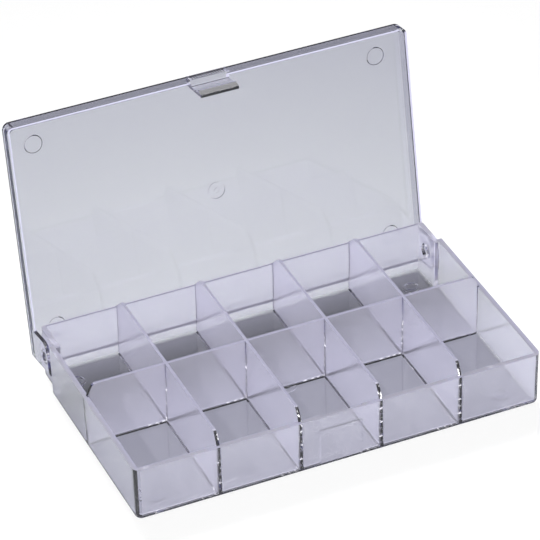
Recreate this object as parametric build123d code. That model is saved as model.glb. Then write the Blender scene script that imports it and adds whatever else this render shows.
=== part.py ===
"""Clear hinged organizer box: a ten-compartment tray, and one lid that covers them all.

Millimetres. X runs along the front, Y to the rear and Z up. The origin is the centre of the
tray's flat underside. The lid is drawn closed on the tray, then swung open about its hinge.
"""
import os
from math import acos, atan2, degrees, hypot, radians, sqrt, tan

from build123d import *

# ---- outside of the box
width = 168.0
depth = 101.4
wall_top = 23.6
corner_radius = 3.0
underside_radius = 2.0
draft = 0.75

# ---- walls and compartments
wall = 2.0
floor = 1.6
columns = 5
divider_pitch = 33.3
divider = 1.2
divider_height = 5.2
divider_end_run = 2.6
divider_end_radius = 2.2
divider_end_gap = 0.1
floor_chamfer = 0.5

# ---- lid
lid_height = 6.6
lid_plate = 1.2
lip = 1.2
lid_rim_draft = 3.0
lid_edge_radius = 1.2
seat_gap = 0.05

# ---- hinge: an ear at each side, with a hollow nub that turns in a hole of the tray
hinge_inset = 8.1
hinge_z = 14.2
ear = 1.5
ear_side_gap = 0.3
ear_front = 6.7
ear_drop = 4.1
ear_rear_radius = 1.8
notch_gap = 0.4
nub_radius = 3.15
nub_length = 1.5
nub_chamfer = 0.5
nub_wall = 1.2
nub_clearance = 0.05
swing_gap = 0.15
stop_gap = 0.12

# ---- latch: a tongue inside the front wall, with a hook for a pocket in that wall
tongue_width = 15.8
tongue = 1.1
tongue_gap = 0.2
tongue_length = 9.7
hook_height = 2.9
hook_reach = 0.75
pocket_play = 0.3
pocket_side_play = 0.9
pocket_depth = 1.1
relief_depth = 0.5
lead_in = 0.8

# ---- thumb grip on the lid's front
grip_width = 16.4
grip_top_gap = 2.2
grip_pad = 0.35
grip_end = 0.6
grip_ribs = 14
grip_rib_radius = 0.35

# ---- feet under the tray, and the seats in the lid that take another box's feet
foot_x = 72.3
foot_y = 39.0
foot_radius = 3.3
foot_height = 0.6
foot_wall = 0.9
seat_clearance = 0.2
seat_spare_depth = 0.1
seat_bevel = 0.3

# ---- moulding gates
gate_radius = 3.5
gate_depth = 0.4
gate_nub_radius = 1.0
gate_nub_drop = 0.2

# ---- cutters reach this far past the faces that they open
overrun = 1.0

# ---- places that follow from the sizes
slope = tan(radians(draft))
divider_top = wall_top + divider_height
lid_base = wall_top + seat_gap
lid_top = wall_top + lid_height
lid_ceiling = lid_top - lid_plate
hinge_y = depth / 2 - hinge_inset
notch_depth = ear + ear_side_gap
notch_y = hinge_y - ear_front - notch_gap
ear_inside = width / 2 - ear
cut_height = divider_top + overrun
tongue_tip = wall_top - tongue_length
hook_top = tongue_tip + hook_height
tongue_face = wall - depth / 2 + slope * tongue_length + tongue_gap
hook_crest = wall - depth / 2 - hook_reach

# The lid stops where its rear lip meets the tray's drafted rear wall.
lip_reach = hypot(hinge_inset, lid_base - hinge_z)
stop_reach = hinge_inset - slope * wall_top + stop_gap
open_angle = degrees(atan2(lid_base - hinge_z, hinge_inset) + acos(stop_reach / lip_reach))

# Nothing of the tray behind the hinge may stand outside these two arcs, or the lid jams.
lip_arc = hypot(hinge_inset - lip, lid_base - hinge_z) - swing_gap
ceiling_arc = lid_ceiling - hinge_z - swing_gap


def behind_hinge(height, arc):
    """The Y at which the arc about the hinge stands at this height."""
    return hinge_y + sqrt(arc**2 - (height - hinge_z) ** 2)


def both_sides(piece):
    """A piece drawn at the right-hand side, and its mirror image at the left."""
    return [piece, mirror(piece, Plane.YZ)]


def at_corners(piece):
    """The piece at each of the four foot places."""
    return [Pos(x, y) * piece for x in (-foot_x, foot_x) for y in (-foot_y, foot_y)]


def round_bar(radius, start, length):
    """A bar on the hinge axis, from start along X."""
    bar = Cylinder(radius, length, align=(Align.CENTER, Align.CENTER, Align.MIN))
    return Pos(start, hinge_y, hinge_z) * Rot(0, 90, 0) * bar


def drafted_block(half_width, outer, inner):
    """A block that narrows downwards, rounded at its outer end and left square at its inner one."""
    outline = Pos(0, (outer + inner) / 2) * Rectangle(2 * half_width, abs(outer - inner))
    rounded = outline.vertices().group_by(Axis.Y)[0 if outer < inner else -1]
    outline = fillet(rounded, corner_radius)
    block = extrude(Pos(0, 0, wall_top) * outline, amount=-wall_top, taper=draft)
    lower = block.faces().sort_by(Axis.Z)[0].edges()
    return fillet(lower.filter_by(lambda edge: abs(edge.center().Y - inner) > wall), underside_radius)


def tray_outside():
    """The wide front part and the narrower rear part, beside which the lid's ears lie."""
    front_part = drafted_block(width / 2, -depth / 2, notch_y)
    rear_part = drafted_block(width / 2 - notch_depth, depth / 2, notch_y - wall)
    return front_part + rear_part


def hollow(left, right, front, rear):
    """A drafted hollow down to the bevelled floor; its limits are at the cut height."""
    outline = Pos((left + right) / 2, (front + rear) / 2) * Rectangle(right - left, rear - front)
    space = extrude(Pos(0, 0, cut_height) * outline, amount=floor - cut_height, taper=draft)
    return chamfer(space.faces().sort_by(Axis.Z)[0].edges(), floor_chamfer)


def compartment(column, row):
    """The hollows that make one compartment. Row 0 is the front one."""
    flare = slope * (cut_height - wall_top)
    side = width / 2 - wall + flare
    end = depth / 2 - wall + flare
    half_divider = divider / 2 - slope * (cut_height - divider_top)
    left = -side if column == 0 else (column - columns / 2) * divider_pitch + half_divider
    right = side if column == columns - 1 else (column + 1 - columns / 2) * divider_pitch - half_divider
    if row == 0:
        return [hollow(left, right, -end, -half_divider)]
    narrow_side = side - notch_depth
    spaces = [hollow(max(left, -narrow_side), min(right, narrow_side), half_divider, end)]
    if column in (0, columns - 1):
        spaces.append(hollow(left, right, half_divider, notch_y - wall + flare))
    return spaces


def divider_tops():
    """The dividers' upper part, which stands above the walls and slopes down at its ends."""
    base = divider + 2 * slope * divider_height
    ridges = [extrude(Rectangle(width, base), amount=divider_height, taper=draft)]
    for index in range(1, columns):
        across = Pos((index - columns / 2) * divider_pitch) * Rectangle(base, depth)
        ridges.append(extrude(across, amount=divider_height, taper=draft))
    half = width / 2 - lip - divider_end_gap
    front = lip + divider_end_gap - depth / 2
    ends = Polygon(
        (-half, 0),
        (half, 0),
        (half - divider_end_run, divider_height),
        (divider_end_run - half, divider_height),
        align=None,
    )
    sides = Polygon(
        (front, 0),
        (behind_hinge(wall_top, lip_arc), 0),
        (behind_hinge(divider_top, ceiling_arc), divider_height),
        (front + divider_end_run, divider_height),
        align=None,
    )
    ends = fillet(ends.vertices().group_by(Axis.Y)[-1], divider_end_radius)
    sides = fillet(sides.vertices().group_by(Axis.Y)[-1], divider_end_radius)
    tops = Part() + ridges
    tops &= extrude(Plane.XZ * ends, amount=depth, both=True)
    tops &= extrude(Plane.YZ * sides, amount=width, both=True)
    return Pos(0, 0, wall_top) * tops


def rear_relief():
    """What the lid's lip sweeps off the upper edge of the rear wall."""
    reach = depth / 2 - behind_hinge(wall_top, lip_arc)
    edge = Pos(0, depth / 2, wall_top) * Box(width, 2 * reach, hinge_inset)
    return edge - round_bar(lip_arc, -width / 2, width)


def nub_holes():
    """The holes in the tray's side walls in which the lid's nubs turn."""
    start = width / 2 - notch_depth - wall - overrun
    return both_sides(round_bar(nub_radius + nub_clearance, start, notch_depth + wall + 2 * overrun))


def latch_pocket():
    """The hook's pocket, the relief that runs to the floor, and the bevel that leads the hook in."""
    half = tongue_width / 2 + pocket_side_play
    inside = wall - depth / 2
    low = tongue_tip - pocket_play
    high = hook_top + pocket_play
    relief_face = inside - slope * (wall_top - floor) - relief_depth
    pocket = Plane.YZ * Polygon(
        (inside + overrun, high),
        (inside - pocket_depth, high),
        (inside - pocket_depth, low),
        (relief_face, low - pocket_depth),
        (relief_face, floor),
        (inside + overrun, floor),
        align=None,
    )
    bevel = Plane.YZ * Polygon(
        (inside - lead_in, wall_top + overrun),
        (inside - lead_in, wall_top),
        (inside + overrun, wall_top - lead_in - overrun),
        (inside + overrun, wall_top + overrun),
        align=None,
    )
    return [extrude(profile, amount=half, both=True) for profile in (pocket, bevel)]


def gate_mark(face_height, inward):
    """A dish with a low stub in it, as a cutter; inward is +1 up or -1 down into the plastic."""
    dish = Cylinder(gate_radius, 2 * gate_depth)
    stub = Pos(0, 0, inward * (gate_nub_drop + gate_depth)) * Cylinder(gate_nub_radius, 2 * gate_depth)
    return Pos(0, 0, face_height) * (dish - stub)


def build_tray():
    body = tray_outside()
    for column in range(columns):
        body -= compartment(column, 0) + compartment(column, 1)
    body += divider_tops()
    body -= rear_relief()
    body -= nub_holes()
    body -= latch_pocket()
    foot = Cylinder(foot_radius, foot_height, align=(Align.CENTER, Align.CENTER, Align.MAX))
    body += at_corners(foot)
    dimple = Cylinder(foot_radius - foot_wall, floor, align=(Align.CENTER, Align.CENTER, Align.MIN))
    body -= at_corners(Pos(0, 0, floor - foot_height) * dimple)
    return body - gate_mark(0, 1)


def ear_profile():
    """The ear seen from the side, with both of its lower corners rounded."""
    front = hinge_y - ear_front
    low = hinge_z - ear_drop
    high = lid_ceiling + lid_plate / 2
    outline = Pos((front + depth / 2) / 2, (low + high) / 2) * Rectangle(depth / 2 - front, high - low)
    outline = fillet(outline.vertices().group_by(Axis.Y)[0].sort_by(Axis.X)[0], ear_drop)
    return fillet(outline.vertices().group_by(Axis.Y)[0].sort_by(Axis.X)[-1], ear_rear_radius)


def lid_ears(outline):
    """Both ears, kept inside the lid's rounded outline, with their nubs."""
    plates = extrude(Plane.YZ * ear_profile(), amount=width, both=True)
    plates &= extrude(Pos(0, 0, hinge_z - ear_drop) * outline, amount=lid_top - hinge_z)
    plates -= Box(2 * ear_inside, 2 * depth, 4 * lid_top)
    nub = round_bar(nub_radius, ear_inside - nub_length, nub_length + ear / 2)
    nub = chamfer(nub.edges().group_by(Axis.X)[0], nub_chamfer)
    bore = round_bar(nub_radius - nub_wall, ear_inside - nub_length + nub_wall, nub_length + ear)
    return plates + both_sides(nub) - both_sides(bore)


def latch_tongue():
    """The tongue hangs inside the tray's front wall; its hook faces out."""
    inside = tongue_face + tongue
    root_top = lid_ceiling + lid_plate / 2
    profile = Plane.YZ * Polygon(
        (tongue_face, root_top),
        (tongue_face, hook_top),
        (hook_crest, hook_top),
        (tongue_face, tongue_tip),
        (inside, tongue_tip),
        (inside, root_top),
        align=None,
    )
    blade = extrude(profile, amount=tongue_width / 2, both=True)
    root_face = lip / 2 - depth / 2
    middle = Pos(0, (root_face + inside) / 2, (lid_base + root_top) / 2)
    return blade + middle * Box(tongue_width, inside - root_face, root_top - lid_base)


def thumb_grip():
    """A pad with plain ends and upright half-round ribs."""
    height = lid_height - grip_top_gap - seat_gap
    middle = lid_base + height / 2
    root_face = lip / 2 - depth / 2
    pad_face = -depth / 2 - grip_pad
    pad = Pos(0, (root_face + pad_face) / 2, middle) * Box(grip_width, root_face - pad_face, height)
    end = Box(grip_end, 2 * grip_rib_radius, height)
    ribs = both_sides(Pos((grip_width - grip_end) / 2, pad_face, middle) * end)
    pitch = (grip_width - 2 * grip_end) / (grip_ribs + 1)
    for index in range(grip_ribs):
        x = (index - (grip_ribs - 1) / 2) * pitch
        ribs.append(Pos(x, pad_face, middle) * Cylinder(grip_rib_radius, height))
    return pad + ribs


def foot_seat():
    """A round seat with a bevelled mouth, as a cutter for a face that looks up."""
    radius = foot_radius + seat_clearance
    seat = Cylinder(radius, foot_height + seat_spare_depth, align=(Align.CENTER, Align.CENTER, Align.MAX))
    mouth = Cone(radius, radius + seat_bevel, seat_bevel, align=(Align.CENTER, Align.CENTER, Align.MAX))
    return seat + mouth


def build_lid():
    outline = RectangleRounded(width, depth, corner_radius)
    shell = extrude(Pos(0, 0, lid_base) * outline, amount=lid_top - lid_base)
    shell = fillet(shell.faces().sort_by(Axis.Z)[-1].edges(), lid_edge_radius)
    inside = RectangleRounded(width - 2 * lip, depth - 2 * lip, corner_radius - lip)
    shell -= extrude(Pos(0, 0, lid_base) * inside, amount=lid_ceiling - lid_base, taper=lid_rim_draft)
    shell -= at_corners(Pos(0, 0, lid_top) * foot_seat())
    shell -= gate_mark(lid_top, -1)
    shell = shell + lid_ears(outline) + latch_tongue() + thumb_grip()
    return shell.rotate(Axis((0, hinge_y, hinge_z), (1, 0, 0)), -open_angle)


os.makedirs("parts", exist_ok=True)
for name, build in {"tray": build_tray, "lid": build_lid}.items():
    piece = build()
    export_step(piece, f"parts/{name}.step")
    print(name, "volume", round(piece.volume), "solids", len(piece.solids()))
print("lid opens", round(open_angle, 2), "degrees")
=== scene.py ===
"""Looks of the clear organizer box: polished clear plastic on a pale studio table."""

from math import radians

import bmesh
import bpy
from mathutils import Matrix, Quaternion, Vector


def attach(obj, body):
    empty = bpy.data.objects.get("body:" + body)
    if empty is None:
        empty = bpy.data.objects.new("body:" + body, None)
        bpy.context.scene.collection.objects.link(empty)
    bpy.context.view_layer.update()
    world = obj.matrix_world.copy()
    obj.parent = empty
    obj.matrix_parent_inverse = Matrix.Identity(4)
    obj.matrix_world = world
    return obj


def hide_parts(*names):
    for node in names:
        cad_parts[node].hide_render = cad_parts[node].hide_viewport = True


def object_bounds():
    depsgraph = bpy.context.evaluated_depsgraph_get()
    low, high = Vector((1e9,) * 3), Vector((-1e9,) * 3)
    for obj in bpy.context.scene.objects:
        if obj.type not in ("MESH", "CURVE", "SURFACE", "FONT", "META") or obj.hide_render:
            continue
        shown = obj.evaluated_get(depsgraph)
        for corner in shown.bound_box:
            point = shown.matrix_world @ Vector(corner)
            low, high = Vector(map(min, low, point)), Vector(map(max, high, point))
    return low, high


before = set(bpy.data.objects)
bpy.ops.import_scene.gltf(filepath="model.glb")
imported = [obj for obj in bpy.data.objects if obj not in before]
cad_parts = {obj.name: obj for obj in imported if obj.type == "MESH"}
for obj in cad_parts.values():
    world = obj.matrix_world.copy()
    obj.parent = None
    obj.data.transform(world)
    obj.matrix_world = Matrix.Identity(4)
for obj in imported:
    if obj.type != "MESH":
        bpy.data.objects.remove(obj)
cad_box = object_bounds()

# Lengths are in metres and lamp powers in watts.
WHITE = (1.0, 1.0, 1.0, 1.0)


# ---- shader maths
class Channel:
    """A socket of a material's nodes that can be used in Python expressions."""

    def __init__(self, tree, socket):
        self.tree = tree
        self.socket = socket

    def maths(self, operation, *others, first=None):
        operands = (self, *others) if first is None else (first, self)
        return node(self.tree, "ShaderNodeMath", {"operation": operation}, dict(enumerate(operands)))

    def size(self):
        return self.maths("ABSOLUTE")

    def above(self, limit):
        return self.maths("GREATER_THAN", limit)

    def below(self, limit):
        return self.maths("LESS_THAN", limit)

    def near(self, value, reach):
        return self.maths("COMPARE", value, reach)

    def at_most(self, limit):
        return self.maths("MINIMUM", limit)

    def __add__(self, other):
        return self.maths("ADD", other)

    def __mul__(self, other):
        return self.maths("MULTIPLY", other)

    def __sub__(self, other):
        return self.maths("SUBTRACT", other)

    def __rsub__(self, other):
        return self.maths("SUBTRACT", first=other)

    __radd__ = __add__
    __rmul__ = __mul__


def node(tree, kind, settings=None, inputs=None, output=0):
    """Adds a node: its settings first, then the values or links of its sockets."""
    made = tree.nodes.new(kind)
    for name, value in (settings or {}).items():
        if name == "stops":
            ramp = made.color_ramp
            for place, colour in value[1:-1]:
                ramp.elements.new(place)
            for element, (place, colour) in zip(ramp.elements, value):
                element.position = place
                element.color = colour
        else:
            setattr(made, name, value)
    for name, value in (inputs or {}).items():
        if isinstance(value, Channel):
            tree.links.new(value.socket, made.inputs[name])
        else:
            made.inputs[name].default_value = value
    return Channel(tree, made.outputs[output]) if made.outputs else None


def along_axis(tree, vector, axis):
    return node(tree, "ShaderNodeSeparateXYZ", {}, {"Vector": vector}, output=axis)


def mixed(tree, share, base, added):
    """Two shaders in one, with the given share of the added one."""
    return node(tree, "ShaderNodeMixShader", {}, {0: share, 1: base, 2: added})


def glow(tree, colour):
    return node(tree, "ShaderNodeEmission", {}, {"Color": colour, "Strength": 1.0})


def paint(tree, colour):
    return node(tree, "ShaderNodeBsdfDiffuse", {}, {"Color": colour})


def ray(tree, kind):
    return node(tree, "ShaderNodeLightPath", output=kind)


def mirrored_once(tree):
    return ray(tree, "Glossy Depth").near(1.0, 0.5)


def trapped_in_plastic(tree):
    return ray(tree, "Glossy Depth").above(1.5)


def new_material(name):
    material = bpy.data.materials.new(name)
    material.use_nodes = True
    material.node_tree.nodes.clear()
    return material, material.node_tree


# ---- clear plastic
STYRENE_IOR = 1.59
CLEAR_TINT = (0.965, 0.96, 1.0, 1.0)
HAZE_TINT = (0.86, 0.84, 1.0, 1.0)
HAZE_ROUGHNESS = 0.35
ROUGHEST_POLISH = 0.05
RIM_ABOVE = 0.010
LIES_FLAT = 0.9
FACES_ALONG = 0.7

# Where the tray's joints stand behind its outer walls, from the middle of the box, for the shade
# painted at the joints.
DIVIDER_PITCH = 0.0333
HALF_DIVIDER = 0.0007
END_WALL_FROM = 0.0817
LONG_WALL_FROM = 0.0487
FLOOR_TOP = 0.0019


def joint_shade_mask(tree, place, facing):
    """One where a divider, a corner or the floor stands behind an outer wall, and nought elsewhere:
    where shade is painted at the joints.
    """
    along_row = along_axis(tree, place, "X").size()
    across_rows = along_axis(tree, place, "Y").size()
    faces_end = along_axis(tree, facing, "X").size().above(FACES_ALONG)
    faces_front = along_axis(tree, facing, "Y").size().above(FACES_ALONG)
    inner_dividers = along_row.near(0.5 * DIVIDER_PITCH, HALF_DIVIDER)
    outer_dividers = along_row.near(1.5 * DIVIDER_PITCH, HALF_DIVIDER)
    front_joints = inner_dividers + outer_dividers + along_row.above(END_WALL_FROM)
    end_joints = across_rows.below(HALF_DIVIDER) + across_rows.above(LONG_WALL_FROM)
    floor_edge = along_axis(tree, place, "Z").below(FLOOR_TOP)
    return (faces_front * front_joints + faces_end * end_joints + floor_edge).at_most(1.0)


def clear_plastic(name, flat_painted_veil, upright_painted_veil, rim_painted_veil, veil_cut_for_joint_shade=0.0):
    """Clear polished styrene with a lit haze mixed in as a painted veil of reflected light, set apart
    for flat faces, upright faces and top edges; where a joint stands behind an outer wall the veil is
    cut, which paints the joint darker.
    """
    material, tree = new_material(name)
    place = node(tree, "ShaderNodeTexCoord", output="Object")
    facing = node(tree, "ShaderNodeTexCoord", output="Normal")
    upward = along_axis(tree, facing, "Z")
    on_rim = along_axis(tree, place, "Z").above(RIM_ABOVE) * upward.above(LIES_FLAT)
    from_inside = node(tree, "ShaderNodeNewGeometry", output="Backfacing")
    flow = node(tree, "ShaderNodeTexNoise", {}, {"Vector": place, "Scale": 45.0, "Detail": 2.0})
    polish = node(tree, "ShaderNodeTexNoise", {}, {"Vector": place, "Scale": 160.0, "Detail": 3.0})
    ripple = node(tree, "ShaderNodeBump", {}, {"Height": flow, "Strength": 0.02, "Distance": 0.0004})
    clear = node(
        tree,
        "ShaderNodeBsdfPrincipled",
        {},
        {
            "Base Color": CLEAR_TINT,
            "Roughness": polish * ROUGHEST_POLISH,
            "IOR": STYRENE_IOR,
            "Specular IOR Level": 1.0,
            "Transmission Weight": 1.0,
            "Normal": ripple,
        },
    )
    haze = node(
        tree,
        "ShaderNodeBsdfPrincipled",
        {},
        {"Base Color": HAZE_TINT, "Roughness": HAZE_ROUGHNESS, "IOR": STYRENE_IOR, "Normal": ripple},
    )
    uprightness = 1.0 - upward.size()
    # Painted reflection: the lit haze is mixed in by how upright a face is, and more on top edges, as
    # a veil of reflected light.
    share = uprightness * (upright_painted_veil - flat_painted_veil) + flat_painted_veil + on_rim * rim_painted_veil
    # Painted shade: the veil is cut where a joint stands behind an outer wall, so the joints look
    # darker.
    if veil_cut_for_joint_shade:
        share = share * (1.0 - joint_shade_mask(tree, place, facing) * veil_cut_for_joint_shade)
    skin = mixed(tree, share * (1.0 - from_inside), clear, haze)
    node(tree, "ShaderNodeOutputMaterial", {}, {"Surface": skin})
    return material


# ---- mouldings
CRISP_EDGE = radians(28)
MERGE_DISTANCE = 0.000002


def moulding(cad_node, body, material):
    """The moulding as one joined skin with crisp edges, in place of the loose CAD triangles."""
    skin = bmesh.new()
    skin.from_mesh(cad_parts[cad_node].data)
    bmesh.ops.remove_doubles(skin, verts=skin.verts, dist=MERGE_DISTANCE)
    for face in skin.faces:
        face.smooth = True
    for edge in skin.edges:
        edge.smooth = len(edge.link_faces) == 2 and edge.calc_face_angle() < CRISP_EDGE
    mesh = bpy.data.meshes.new(cad_node + "_moulding")
    skin.to_mesh(mesh)
    skin.free()
    mesh.materials.clear()
    mesh.materials.append(material)
    piece = bpy.data.objects.new(cad_node + "_moulding", mesh)
    bpy.context.scene.collection.objects.link(piece)
    flat = piece.modifiers.new("flat faces stay flat", "WEIGHTED_NORMAL")
    flat.keep_sharp = True
    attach(piece, body)
    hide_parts(cad_node)
    return piece


tray_styrene = clear_plastic(
    "tray_styrene", flat_painted_veil=0.02, upright_painted_veil=0.29, rim_painted_veil=0.38, veil_cut_for_joint_shade=0.75
)
lid_styrene = clear_plastic("lid_styrene", flat_painted_veil=0.06, upright_painted_veil=0.045, rim_painted_veil=0.0)
tray = moulding("tray", "tray", tray_styrene)
lid = moulding("lid", "lid", lid_styrene)

# ---- table
# The camera sees a pale table with a faint shadow. Through the plastic the table is grey paint
# with a pale image of the studio over it. The image fades to nothing along a line under the rear
# compartments, which paints a shade band across the table there. Light that is trapped in the
# plastic meets a dark glow instead, painted shade that darkens the plastic's edges.
TABLE_HALF_SIDE = 20.0
TABLE_CLEARANCE = 0.0001
SHADOWLESS_SHARE = 0.90
IMAGE_MIRRORED = 0.1
IMAGE_MIRRORED_THROUGH = 0.55
IMAGE_THROUGH = 0.37
SHADE_BAND_FADE_PER_METRE = 14.0
PAINTED_SHADE_LINE_Y = 0.03


def table_finish():
    material, tree = new_material("pale_table")
    through = ray(tree, "Is Transmission Ray")
    place = node(tree, "ShaderNodeTexCoord", output="Object")
    # Painted shade: the studio image is cut along a line under the rear compartments, so the table
    # seen through the plastic is darker there.
    from_painted_shade_line = (along_axis(tree, place, "Y") - PAINTED_SHADE_LINE_Y).size()
    image_through = (from_painted_shade_line * SHADE_BAND_FADE_PER_METRE).at_most(IMAGE_THROUGH)
    image_mirrored = through * IMAGE_MIRRORED_THROUGH + IMAGE_MIRRORED
    image_share = mirrored_once(tree) * image_mirrored + through * image_through
    grey = paint(tree, (0.23, 0.245, 0.215, 1.0))
    studio_image = glow(tree, (0.82, 0.82, 1.0, 1.0))
    # Painted shade: a dark navy glow, seen only by light trapped in the plastic, darkens the plastic's
    # edges.
    painted_edge_shade = glow(tree, (0.03, 0.032, 0.15, 1.0))
    painted = mixed(tree, image_share, grey, studio_image)
    in_plastic = mixed(tree, trapped_in_plastic(tree), painted, painted_edge_shade)
    pale = paint(tree, (0.92, 0.92, 0.93, 1.0))
    in_view = mixed(tree, SHADOWLESS_SHARE, pale, glow(tree, WHITE))
    top = mixed(tree, ray(tree, "Is Camera Ray"), in_plastic, in_view)
    node(tree, "ShaderNodeOutputMaterial", {}, {"Surface": top})
    return material


def table_top(material):
    mesh = bpy.data.meshes.new("table")
    plane = bmesh.new()
    bmesh.ops.create_grid(plane, x_segments=1, y_segments=1, size=TABLE_HALF_SIDE)
    bmesh.ops.translate(plane, verts=plane.verts, vec=(0.0, 0.0, cad_box[0].z - TABLE_CLEARANCE))
    plane.to_mesh(mesh)
    plane.free()
    mesh.materials.append(material)
    top = bpy.data.objects.new("table", mesh)
    bpy.context.scene.collection.objects.link(top)
    return top


table = table_top(table_finish())

# ---- lamps
LAMPS_AIM_AT = Vector((0.0, 0.0, 0.03))


def soft_lamp(name, place, size, power, spread=180.0, lights=(), blockers=(), in_plastic=True):
    """An area lamp aimed at the box, that may light, or be shaded by, only the pieces named."""
    light = bpy.data.lights.new(name, "AREA")
    light.shape = "RECTANGLE"
    light.size, light.size_y = size
    light.energy = power
    light.spread = radians(spread)
    lamp = bpy.data.objects.new(name, light)
    lamp.location = place
    lamp.visible_transmission = in_plastic
    lamp.visible_glossy = in_plastic
    lamp.rotation_mode = "QUATERNION"
    lamp.rotation_quaternion = (LAMPS_AIM_AT - Vector(place)).to_track_quat("-Z", "Y")
    bpy.context.scene.collection.objects.link(lamp)
    for role, pieces in (("receiver", lights), ("blocker", blockers)):
        if pieces:
            group = bpy.data.collections.new(f"{name}_{role}s")
            for piece in pieces:
                group.objects.link(piece)
            setattr(lamp.light_linking, role + "_collection", group)


soft_lamp("back_box", (0.2, 0.75, 1.35), size=(1.0, 0.7), power=8.0, blockers=(tray,))
soft_lamp("back_window", (-0.75, 1.05, 0.95), size=(1.0, 0.8), power=4.0, blockers=(tray,))
soft_lamp("left_window", (-1.2, -0.5, 0.9), size=(0.7, 0.7), power=8.0, blockers=(tray,))
soft_lamp(
    "back_pool",
    (0.05, 0.5, 0.7),
    size=(0.3, 0.3),
    power=0.85,
    spread=30.0,
    lights=(table,),
    blockers=(tray,),
)
soft_lamp(
    "front_fill",
    (-0.45, -1.1, 0.8),
    size=(0.8, 0.8),
    power=14.0,
    lights=(tray, lid),
    blockers=(table,),
    in_plastic=False,
)

# ---- room
# A dim studio, darker low down and to the rear, that the camera itself sees as plain white.
ROOM_STRENGTH = 0.65
LOST_WHEN_TRAPPED = 0.62
DARKER_TO_REAR = 0.45
ROOM_COLOURS = [
    (0.0, (0.03, 0.03, 0.06, 1.0)),
    (0.45, (0.13, 0.13, 0.15, 1.0)),
    (1.0, (0.90, 0.92, 0.90, 1.0)),
]


def studio_room():
    world = bpy.data.worlds.new("studio")
    world.use_nodes = True
    bpy.context.scene.world = world
    tree = world.node_tree
    tree.nodes.clear()
    direction = node(tree, "ShaderNodeTexCoord", output="Generated")
    upward = along_axis(tree, direction, "Z")
    to_rear = along_axis(tree, direction, "Y")
    lightness = upward - to_rear * DARKER_TO_REAR
    colour = node(tree, "ShaderNodeValToRGB", {"stops": ROOM_COLOURS}, {"Fac": lightness})
    # Painted shade: light trapped in the plastic sees the studio almost black, which darkens the
    # plastic's edges.
    strength = ROOM_STRENGTH - trapped_in_plastic(tree) * LOST_WHEN_TRAPPED
    dim = node(tree, "ShaderNodeBackground", {}, {"Color": colour, "Strength": strength})
    white = node(tree, "ShaderNodeBackground", {}, {"Color": WHITE, "Strength": 1.0})
    sky = mixed(tree, ray(tree, "Is Camera Ray"), dim, white)
    node(tree, "ShaderNodeOutputWorld", {}, {"Surface": sky})


studio_room()

# ---- camera
CAMERA_PLACE = Vector((-0.4592, -1.05495, 0.86833))
LOOKS_AT = Vector((0.00545, 0.02671, 0.03784))
ROLL = radians(-1.476)
SENSOR_MM = 36.0
LENS_MM = 247.47
NEAREST = 0.01
FARTHEST = 20.0

camera = bpy.data.cameras.new("camera")
camera.sensor_width = SENSOR_MM
camera.lens = LENS_MM
camera.clip_start = NEAREST
camera.clip_end = FARTHEST
eye = bpy.data.objects.new("camera", camera)
eye.location = CAMERA_PLACE
eye.rotation_mode = "QUATERNION"
level = (LOOKS_AT - CAMERA_PLACE).to_track_quat("-Z", "Y")
eye.rotation_quaternion = level @ Quaternion((0, 0, 1), ROLL)
bpy.context.scene.collection.objects.link(eye)
bpy.context.scene.camera = eye

# ---- light paths, long enough to cross every wall of the tray and the lid behind it
THROUGH_WALLS = 32
OFF_FACES = 12
bpy.context.scene.view_settings.view_transform = "Standard"
bpy.context.scene.cycles.max_bounces = THROUGH_WALLS
bpy.context.scene.cycles.transmission_bounces = THROUGH_WALLS
bpy.context.scene.cycles.glossy_bounces = OFF_FACES
bpy.context.scene.cycles.caustics_refractive = True
